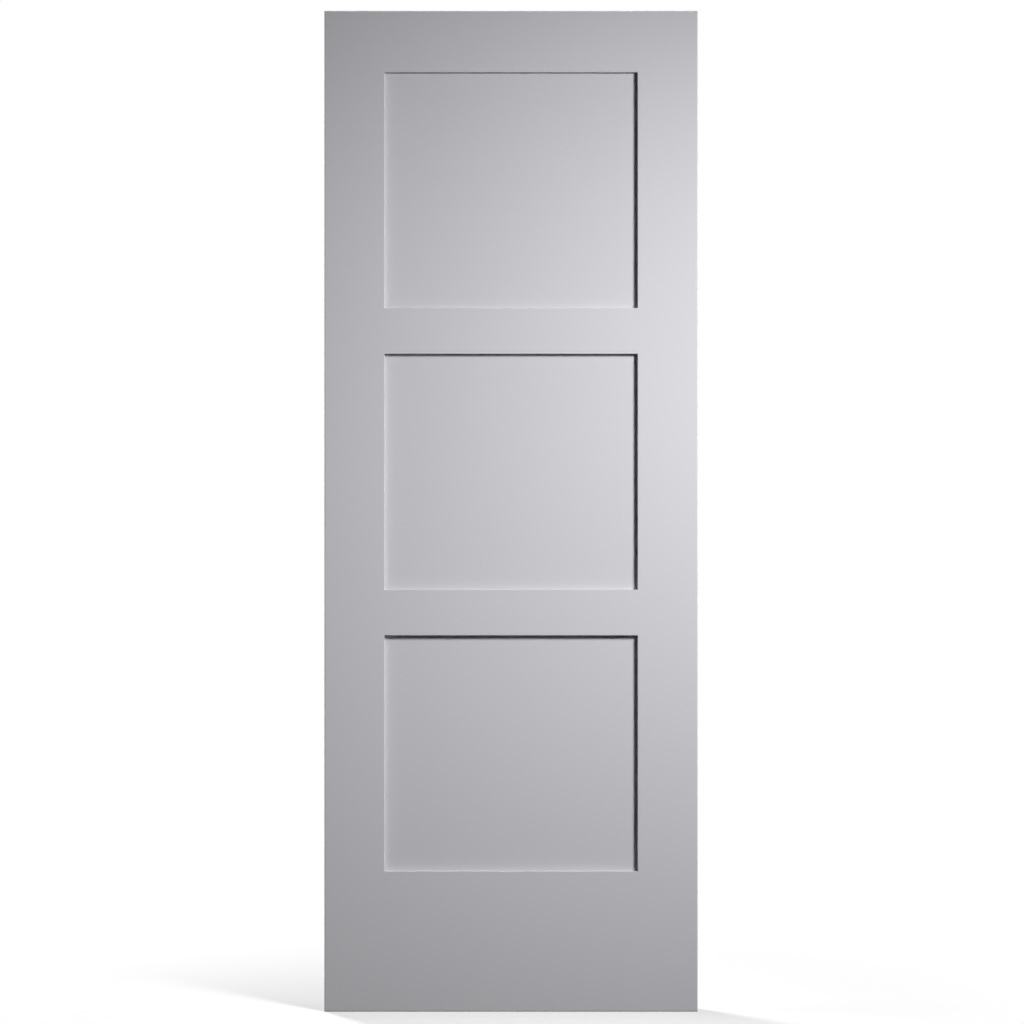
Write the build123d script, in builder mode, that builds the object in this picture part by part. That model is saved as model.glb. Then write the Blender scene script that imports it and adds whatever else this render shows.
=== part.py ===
# A three-panel shaker door leaf: two stiles, four rails and three flat panels held in grooves.
# Millimetres. X runs from the hinge edge to the latch edge, Y from the front face to the back
# with zero at the middle of the thickness, and Z up from the foot of the door.
import os

from build123d import *

# The leaf
door_height = 2032.0
door_width = 758.0
door_thickness = 35.0
outer_ease = 2.0  # round on the corners all round each face

# Stiles and rails, as they show on the face
stile_width = 122.0
top_rail_height = 125.0
cross_rail_height = 93.0
bottom_rail_height = 285.0
mouth_ease = 1.0  # round on the corners around each panel

# Panels and the grooves that hold them
panel_thickness = 14.0
groove_depth = 12.0
groove_play = 0.1  # on each side of a panel or tenon
panel_gap = 1.5  # from a panel's sides and top to the floor of their groove

# Tenons that join the rails to the stiles
tenon_length = 60.0
tenon_setback = 36.0  # from the end of the door to the first tenon, where a haunch fills the groove
glue_gap = 0.3  # from the tip of a haunch or tenon to the wood before it

# Where the rails and the openings between them start, from the foot of the door up
rail_names = ("bottom_rail", "lower_cross_rail", "upper_cross_rail", "top_rail")
rail_heights = (bottom_rail_height, cross_rail_height, cross_rail_height, top_rail_height)
panel_names = ("lower_panel", "middle_panel", "upper_panel")
opening_width = door_width - 2 * stile_width
opening_height = (door_height - sum(rail_heights)) / len(panel_names)
rail_feet = [sum(rail_heights[:place]) + place * opening_height for place in range(len(rail_names))]
opening_feet = [foot + height for foot, height in zip(rail_feet, rail_heights)][:-1]

# Grooves and tenons
groove_width = panel_thickness + 2 * groove_play
haunch_length = groove_depth - glue_gap
mortise_depth = tenon_length + glue_gap
tenon_feet = [foot + groove_depth for foot in rail_feet]
tenon_feet[0] = tenon_setback
tenon_heads = [foot - groove_depth for foot in opening_feet] + [door_height - tenon_setback]

# The frame is sanded after it is glued, so its eased corners run across the joints.
with BuildPart() as frame:
    with BuildSketch(Plane.XZ):
        Rectangle(door_width, door_height, align=(Align.MIN, Align.MIN))
        with Locations(*[(stile_width, foot) for foot in opening_feet]):
            Rectangle(opening_width, opening_height, align=(Align.MIN, Align.MIN), mode=Mode.SUBTRACT)
    extrude(amount=door_thickness / 2, both=True)
    mouths = ShapeList()
    for face in frame.faces().filter_by(Axis.Y):
        for wire in face.inner_wires():
            mouths += wire.edges()
    fillet(mouths, radius=mouth_ease)
    corners = ShapeList()
    for face in frame.faces().filter_by(Axis.Y):
        corners += face.outer_wire().edges()
    fillet(corners, radius=outer_ease)

# Hinge stile, grooved from end to end and mortised for the four tenons
with BuildPart() as hinge_stile:
    add(frame.part)
    Box(
        stile_width,
        2 * door_thickness,
        door_height,
        align=(Align.MIN, Align.CENTER, Align.MIN),
        mode=Mode.INTERSECT,
    )
    with BuildSketch(Plane.XZ):
        with Locations((stile_width, 0)):
            Rectangle(groove_depth, door_height, align=(Align.MAX, Align.MIN))
        for foot, head in zip(tenon_feet, tenon_heads):
            with Locations((stile_width, foot - groove_play)):
                Rectangle(mortise_depth, head - foot + 2 * groove_play, align=(Align.MAX, Align.MIN))
    extrude(amount=groove_width / 2, both=True, mode=Mode.SUBTRACT)
hinge_stile.part.label = "hinge_stile"

# Latch stile, the same piece turned to face it
with BuildPart() as latch_stile:
    mirror(hinge_stile.part, about=Plane.YZ.offset(door_width / 2))
latch_stile.part.label = "latch_stile"


def make_rail(place):
    """One rail: its face, the haunches and tenons at its ends, and a groove along each panel."""
    foot = rail_feet[place]
    height = rail_heights[place]
    groove_feet = []
    if place > 0:
        groove_feet.append(foot)
    if place < len(panel_names):
        groove_feet.append(foot + height - groove_depth)
    with BuildPart() as rail:
        add(frame.part)
        with Locations((stile_width, 0, foot)):
            Box(
                opening_width,
                2 * door_thickness,
                height,
                align=(Align.MIN, Align.CENTER, Align.MIN),
                mode=Mode.INTERSECT,
            )
        with BuildSketch(Plane.XZ):
            with Locations((door_width / 2, foot)):
                Rectangle(opening_width + 2 * haunch_length, height, align=(Align.CENTER, Align.MIN))
            with Locations((door_width / 2, tenon_feet[place])):
                Rectangle(
                    opening_width + 2 * tenon_length,
                    tenon_heads[place] - tenon_feet[place],
                    align=(Align.CENTER, Align.MIN),
                )
        extrude(amount=panel_thickness / 2, both=True)
        with BuildSketch(Plane.XZ):
            with Locations(*[(door_width / 2, groove_foot) for groove_foot in groove_feet]):
                Rectangle(door_width, groove_depth, align=(Align.CENTER, Align.MIN))
        extrude(amount=groove_width / 2, both=True, mode=Mode.SUBTRACT)
    rail.part.label = rail_names[place]
    return rail.part


def make_panel(place):
    """One flat panel, standing on the floor of the groove below it."""
    with BuildPart() as panel:
        with BuildSketch(Plane.XZ):
            with Locations((door_width / 2, opening_feet[place] - groove_depth)):
                Rectangle(
                    opening_width + 2 * (groove_depth - panel_gap),
                    opening_height + 2 * groove_depth - panel_gap,
                    align=(Align.CENTER, Align.MIN),
                )
        extrude(amount=panel_thickness / 2, both=True)
    panel.part.label = panel_names[place]
    return panel.part


rails = [make_rail(place) for place in range(len(rail_names))]
panels = [make_panel(place) for place in range(len(panel_names))]

os.makedirs("parts", exist_ok=True)
for piece in [hinge_stile.part, latch_stile.part] + rails + panels:
    export_step(piece, f"parts/{piece.label}.step")
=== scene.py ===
# A three-panel shaker door leaf in satin grey-white paint, straight on, against a white sweep.
# Metres. The stiles, rails and panels keep their shapes and get their paint here.
import math

import bpy
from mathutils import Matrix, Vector


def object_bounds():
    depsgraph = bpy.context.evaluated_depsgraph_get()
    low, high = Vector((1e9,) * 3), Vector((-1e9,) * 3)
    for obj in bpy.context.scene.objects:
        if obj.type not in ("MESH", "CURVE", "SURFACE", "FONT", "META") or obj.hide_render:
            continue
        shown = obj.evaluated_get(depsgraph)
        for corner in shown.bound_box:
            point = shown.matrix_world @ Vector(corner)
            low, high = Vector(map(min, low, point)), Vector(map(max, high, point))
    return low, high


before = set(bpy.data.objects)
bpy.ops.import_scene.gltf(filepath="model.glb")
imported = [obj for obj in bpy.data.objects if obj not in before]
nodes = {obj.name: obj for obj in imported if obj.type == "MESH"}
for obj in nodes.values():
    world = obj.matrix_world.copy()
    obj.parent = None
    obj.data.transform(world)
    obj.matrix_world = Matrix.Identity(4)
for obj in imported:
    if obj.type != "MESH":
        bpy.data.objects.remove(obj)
cad_low, cad_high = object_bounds()


# The two stiles: full-height uprights of timber with the grain running up them. They are sanded
# flush with the rails, eased along their corners and sprayed with satin paint, ends and all.
def add_node(tree, kind, inputs=None, **settings):
    """A node in a tree, with its settings made and then its inputs filled or linked."""
    node = tree.nodes.new(kind)
    for name, value in settings.items():
        setattr(node, name, value)
    for socket, source in (inputs or {}).items():
        if isinstance(source, bpy.types.NodeSocket):
            tree.links.new(source, node.inputs[socket])
        else:
            node.inputs[socket].default_value = source
    return node


def add_math(tree, operation, *values):
    """The result of one sum on values or sockets."""
    return add_node(tree, "ShaderNodeMath", dict(enumerate(values)), operation=operation).outputs[0]


def add_noise(tree, place, per_m, detail):
    """Soft noise from 0 to 1, with this many patches to a metre."""
    inputs = {"Vector": place, "Scale": per_m, "Detail": detail}
    return add_node(tree, "ShaderNodeTexNoise", inputs).outputs["Fac"]


def new_group(name, inputs, outputs):
    """An empty shader node group with these sockets, and the two ends to link to."""
    group = bpy.data.node_groups.new(name, "ShaderNodeTree")
    for label, kind in inputs.items():
        group.interface.new_socket(label, in_out="INPUT", socket_type=kind)
    for label, kind in outputs.items():
        group.interface.new_socket(label, in_out="OUTPUT", socket_type=kind)
    return group, add_node(group, "NodeGroupInput").outputs, add_node(group, "NodeGroupOutput").inputs


# Sprayed paint: a slow drift of tone, the film's long ripple and the fine orange peel of the spray.
# All three lie on the door as a whole, so they run on across its joints.
drift_per_m = 2.2
drift_detail = 3.0
ripple_per_m = 38.0
ripple_detail = 0.0
peel_detail = 1.0
even_tone = 1.0
noise_middle = 0.5
sprayed_paint, film_in, film_out = new_group(
    "sprayed_paint",
    {
        "Place": "NodeSocketVector",
        "Paint": "NodeSocketColor",
        "Drift": "NodeSocketFloat",
        "Ripple Height": "NodeSocketFloat",
        "Peel per Metre": "NodeSocketFloat",
        "Peel Height": "NodeSocketFloat",
        "Roughness": "NodeSocketFloat",
        "Roughness Spread": "NodeSocketFloat",
    },
    {"Colour": "NodeSocketColor", "Roughness": "NodeSocketFloat", "Height": "NodeSocketFloat"},
)
drift = add_noise(sprayed_paint, film_in["Place"], drift_per_m, drift_detail)
ripple = add_noise(sprayed_paint, film_in["Place"], ripple_per_m, ripple_detail)
peel = add_noise(sprayed_paint, film_in["Place"], film_in["Peel per Metre"], peel_detail)
off_tone = add_math(sprayed_paint, "SUBTRACT", drift, noise_middle)
tone = add_math(sprayed_paint, "MULTIPLY_ADD", off_tone, film_in["Drift"], even_tone)
toned = add_node(
    sprayed_paint, "ShaderNodeVectorMath", {0: film_in["Paint"], "Scale": tone}, operation="SCALE"
).outputs[0]
peel_rise = add_math(sprayed_paint, "MULTIPLY", peel, film_in["Peel Height"])
film_rise = add_math(sprayed_paint, "MULTIPLY_ADD", ripple, film_in["Ripple Height"], peel_rise)
dulling = add_math(
    sprayed_paint, "MULTIPLY_ADD", peel, film_in["Roughness Spread"], film_in["Roughness"]
)
sprayed_paint.links.new(toned, film_out["Colour"])
sprayed_paint.links.new(dulling, film_out["Roughness"])
sprayed_paint.links.new(film_rise, film_out["Height"])

# Timber under paint: the growth rings still stand as faint ridges along the grain. The place that
# comes in is already stretched along it and counted in rings.
ring_scale = 1.0
ring_detail = 2.0
timber_grain, grain_in, grain_out = new_group(
    "timber_grain",
    {"Place": "NodeSocketVector", "Ridge Height": "NodeSocketFloat"},
    {"Height": "NodeSocketFloat"},
)
rings = add_noise(timber_grain, grain_in["Place"], ring_scale, ring_detail)
ridges = add_math(timber_grain, "MULTIPLY", rings, grain_in["Ridge Height"])
timber_grain.links.new(ridges, grain_out["Height"])

# The paint as it is sprayed on every piece, and the timber that it covers on the stiles and rails.
# Heights are in metres, and the bump takes them as they are.
paint_colour = (0.568, 0.560, 0.589, 1.0)
paint_drift = 0.03
paint_reflection = 0.15
satin_roughness = 0.42
satin_spread = 0.12
ripple_height = 0.00003
bump_scale = 1.0
timber_peel_per_m = 430.0
timber_peel_height = 0.000012
ridge_height = 0.000012
across_grain_per_m = 260.0
along_grain_per_m = 5.0


def piece_place(tree):
    """Object coordinates, which are the door's own on every piece."""
    return add_node(tree, "ShaderNodeTexCoord").outputs["Object"]


def new_paint(name, peel_per_m, peel_height):
    """A satin paint material without its bump, and the height of its film of paint."""
    material = bpy.data.materials.new(name)
    material.use_nodes = True
    tree = material.node_tree
    inputs = {
        "Place": piece_place(tree),
        "Paint": paint_colour,
        "Drift": paint_drift,
        "Ripple Height": ripple_height,
        "Peel per Metre": peel_per_m,
        "Peel Height": peel_height,
        "Roughness": satin_roughness,
        "Roughness Spread": satin_spread,
    }
    film = add_node(tree, "ShaderNodeGroup", inputs, node_tree=sprayed_paint)
    shader = tree.nodes["Principled BSDF"]
    shader.inputs["Specular IOR Level"].default_value = paint_reflection
    tree.links.new(film.outputs["Colour"], shader.inputs["Base Color"])
    tree.links.new(film.outputs["Roughness"], shader.inputs["Roughness"])
    return material, film.outputs["Height"]


def add_bump(tree, height):
    """Raises a painted surface by this height."""
    bump = add_node(tree, "ShaderNodeBump", {"Height": height, "Distance": bump_scale})
    tree.links.new(bump.outputs["Normal"], tree.nodes["Principled BSDF"].inputs["Normal"])


def painted_timber(name, grain_per_m):
    """Satin paint over timber whose grain changes this many times a metre along X, Y and Z."""
    material, film_height = new_paint(name, timber_peel_per_m, timber_peel_height)
    tree = material.node_tree
    in_rings = add_node(tree, "ShaderNodeMapping", {"Vector": piece_place(tree), "Scale": grain_per_m})
    inputs = {"Place": in_rings.outputs["Vector"], "Ridge Height": ridge_height}
    grain = add_node(tree, "ShaderNodeGroup", inputs, node_tree=timber_grain)
    add_bump(tree, add_math(tree, "ADD", grain.outputs["Height"], film_height))
    return material


up_the_stile = (across_grain_per_m, across_grain_per_m, along_grain_per_m)
painted_stile = painted_timber("painted_stile", up_the_stile)
for name in ("hinge_stile", "latch_stile"):
    nodes[name].data.materials[0] = painted_stile

# The four rails: timber with the grain running across the door, tenoned and glued into the stiles,
# then sanded and painted with them, so that no joint line is left on the face.
along_the_rail = (along_grain_per_m, across_grain_per_m, across_grain_per_m)
painted_rail = painted_timber("painted_rail", along_the_rail)
for name in ("top_rail", "upper_cross_rail", "lower_cross_rail", "bottom_rail"):
    nodes[name].data.materials[0] = painted_rail

# The three panels: flat fibreboard, held loose in the grooves of the stiles and rails. It has no
# grain, so only the paint's own ripple and fine peel lie on it.
board_peel_per_m = 520.0
board_peel_height = 0.000009
painted_panel, film_height = new_paint("painted_panel", board_peel_per_m, board_peel_height)
add_bump(painted_panel.node_tree, film_height)
for name in ("upper_panel", "middle_panel", "lower_panel"):
    nodes[name].data.materials[0] = painted_panel

# The floor: a pale round sheet that keeps the door's shadow near its foot and fades to plain white
# further off. The lit part is seen only by the rays that show the background.
leaf_middle = (cad_low + cad_high) / 2
leaf_foot = Vector((leaf_middle.x, leaf_middle.y, cad_low.z))
floor_radius = 4.0
floor_sides = 96
fade_shape = (0.8, 1.0, 0.0)
fade_start = 0.25
fade_end = 0.9
near_glow = 0.32
far_glow = 1.0
near_colour = 0.5
far_colour = 0.0
unseen_colour = (0.05, 0.05, 0.05, 1.0)
bpy.ops.object.select_all(action="DESELECT")
bpy.ops.mesh.primitive_circle_add(
    vertices=floor_sides, radius=floor_radius, fill_type="TRIFAN", location=leaf_foot
)
floor = bpy.context.object
floor.name = "floor"
bpy.ops.object.transform_apply(location=True, rotation=False, scale=False)
pale_floor = bpy.data.materials.new("pale_floor")
pale_floor.use_nodes = True
tree = pale_floor.node_tree
tree.nodes.remove(tree.nodes["Principled BSDF"])
from_foot = add_node(
    tree, "ShaderNodeVectorMath", {0: piece_place(tree), 1: leaf_foot}, operation="SUBTRACT"
).outputs[0]
shaped = add_node(
    tree, "ShaderNodeVectorMath", {0: from_foot, 1: fade_shape}, operation="MULTIPLY"
).outputs[0]
reach = add_node(tree, "ShaderNodeVectorMath", {0: shaped}, operation="LENGTH").outputs["Value"]
fade = add_node(
    tree,
    "ShaderNodeMapRange",
    {"Value": reach, "From Min": fade_start, "From Max": fade_end},
    interpolation_type="SMOOTHSTEP",
).outputs[0]
glow = add_node(
    tree, "ShaderNodeMapRange", {"Value": fade, "To Min": near_glow, "To Max": far_glow}
).outputs[0]
shade = add_node(
    tree, "ShaderNodeMapRange", {"Value": fade, "To Min": near_colour, "To Max": far_colour}
).outputs[0]
lit_part = add_node(tree, "ShaderNodeBsdfDiffuse", {"Color": shade}).outputs[0]
white_part = add_node(tree, "ShaderNodeEmission", {"Strength": glow}).outputs[0]
seen = add_node(tree, "ShaderNodeAddShader", {0: lit_part, 1: white_part}).outputs[0]
unseen = add_node(tree, "ShaderNodeBsdfDiffuse", {"Color": unseen_colour}).outputs[0]


def seen_rays(tree):
    """1 for a ray that shows the background: from the camera, off a sheen or through a clear face."""
    rays = add_node(tree, "ShaderNodeLightPath").outputs
    direct = add_math(tree, "MAXIMUM", rays["Is Camera Ray"], rays["Is Glossy Ray"])
    return add_math(tree, "MAXIMUM", direct, rays["Is Transmission Ray"])


pick = add_node(tree, "ShaderNodeMixShader", {0: seen_rays(tree), 1: unseen, 2: seen})
tree.links.new(pick.outputs[0], tree.nodes["Material Output"].inputs["Surface"])
floor.data.materials.append(pale_floor)

# The room: white to look at. Its light is dim in front, so that the recesses keep their shadows,
# and comes from a pale wall behind the door.
front_glow = 0.004
back_glow = 0.2
wall_start = -0.05
wall_end = 0.25
seen_glow = 1.0
room_white = (1.0, 1.0, 1.0, 1.0)
white_sweep = bpy.data.worlds.new("white_sweep")
bpy.context.scene.world = white_sweep
white_sweep.use_nodes = True
tree = white_sweep.node_tree
way = add_node(tree, "ShaderNodeTexCoord").outputs["Generated"]
back_way = add_node(tree, "ShaderNodeSeparateXYZ", {0: way}).outputs["Y"]
room_glow = add_node(
    tree,
    "ShaderNodeMapRange",
    {
        "Value": back_way,
        "From Min": wall_start,
        "From Max": wall_end,
        "To Min": front_glow,
        "To Max": back_glow,
    },
    interpolation_type="SMOOTHSTEP",
).outputs[0]
strength = add_node(tree, "ShaderNodeMix", {"Factor": seen_rays(tree), "A": room_glow, "B": seen_glow})
background = tree.nodes["Background"]
background.inputs["Color"].default_value = room_white
tree.links.new(strength.outputs[0], background.inputs["Strength"])


# The lamps: two softboxes half a turn apart, each off to the side of a face and turned down across
# it, and two strips in the door's own plane that light only its top and its hinge edge. None is
# mirrored in the paint, so no edge glares.
def hang_lamp(name, place, aim, size, spread_deg, power):
    """A rectangular lamp at a place, aimed at a point."""
    bpy.ops.object.light_add(type="AREA", location=place)
    lamp = bpy.context.object
    lamp.name = name
    lamp.rotation_mode = "QUATERNION"
    lamp.rotation_quaternion = (aim - place).to_track_quat("-Z", "Y")
    lamp.data.shape = "RECTANGLE"
    lamp.data.size, lamp.data.size_y = size
    lamp.data.spread = math.radians(spread_deg)
    lamp.data.energy = power
    lamp.visible_camera = False
    lamp.visible_glossy = False


softbox_size = (0.55, 0.7)
softbox_spread_deg = 119.0
softbox_across = 1.42
softbox_off = 1.5
softbox_height = 2.0
aim_across = 1.15
aim_height = -0.31
key_power = 40.2
back_power = 34.0
half_thickness = (cad_high.y - cad_low.y) / 2
for name, side, power in (("key_softbox", -1, key_power), ("back_softbox", 1, back_power)):
    face = leaf_middle.y + side * half_thickness
    place = Vector((leaf_middle.x - side * softbox_across, face + side * softbox_off, softbox_height))
    aim = Vector((leaf_middle.x + side * aim_across, face, aim_height))
    hang_lamp(name, place, aim, softbox_size, softbox_spread_deg, power)
strip_width = 0.03
strip_spread_deg = 120.0
top_strip_size = (0.75, strip_width)
top_strip_off = 0.6
top_strip_power = 2.0
top_place = Vector((leaf_middle.x, leaf_middle.y, cad_high.z + top_strip_off))
hang_lamp("top_strip", top_place, leaf_middle, top_strip_size, strip_spread_deg, top_strip_power)
hinge_strip_size = (strip_width, 2.1)
hinge_strip_off = 0.8
hinge_strip_rise = 0.1
hinge_strip_power = 2.2
hinge_aim = Vector((leaf_middle.x, leaf_middle.y, leaf_middle.z + hinge_strip_rise))
hinge_place = Vector((cad_low.x - hinge_strip_off, hinge_aim.y, hinge_aim.z))
hang_lamp("hinge_strip", hinge_place, hinge_aim, hinge_strip_size, strip_spread_deg, hinge_strip_power)

# The camera: a long lens, level and straight on, far enough off for the leaf to fill the
# photograph's height, and placed so that the leaf's edges fall where they do there.
photo_side_px = 1024
leaf_top_px = 10.65
leaf_foot_px = 1011.7
leaf_left_px = 324.25
leaf_right_px = 697.85
lens_mm = 85.0
m_per_px = (cad_high.z - cad_low.z) / (leaf_foot_px - leaf_top_px)
camera_data = bpy.data.cameras.new("camera")
camera_data.lens = lens_mm
camera = bpy.data.objects.new("camera", camera_data)
bpy.context.scene.collection.objects.link(camera)
across_px = photo_side_px / 2 - (leaf_left_px + leaf_right_px) / 2
down_px = photo_side_px / 2 - (leaf_top_px + leaf_foot_px) / 2
back_off = photo_side_px * m_per_px * lens_mm / camera_data.sensor_width
camera.location = (
    leaf_middle.x + across_px * m_per_px,
    cad_low.y - back_off,
    leaf_middle.z - down_px * m_per_px,
)
camera.rotation_euler = (math.pi / 2, 0, 0)
bpy.context.scene.camera = camera
bpy.context.scene.view_settings.view_transform = "Standard"
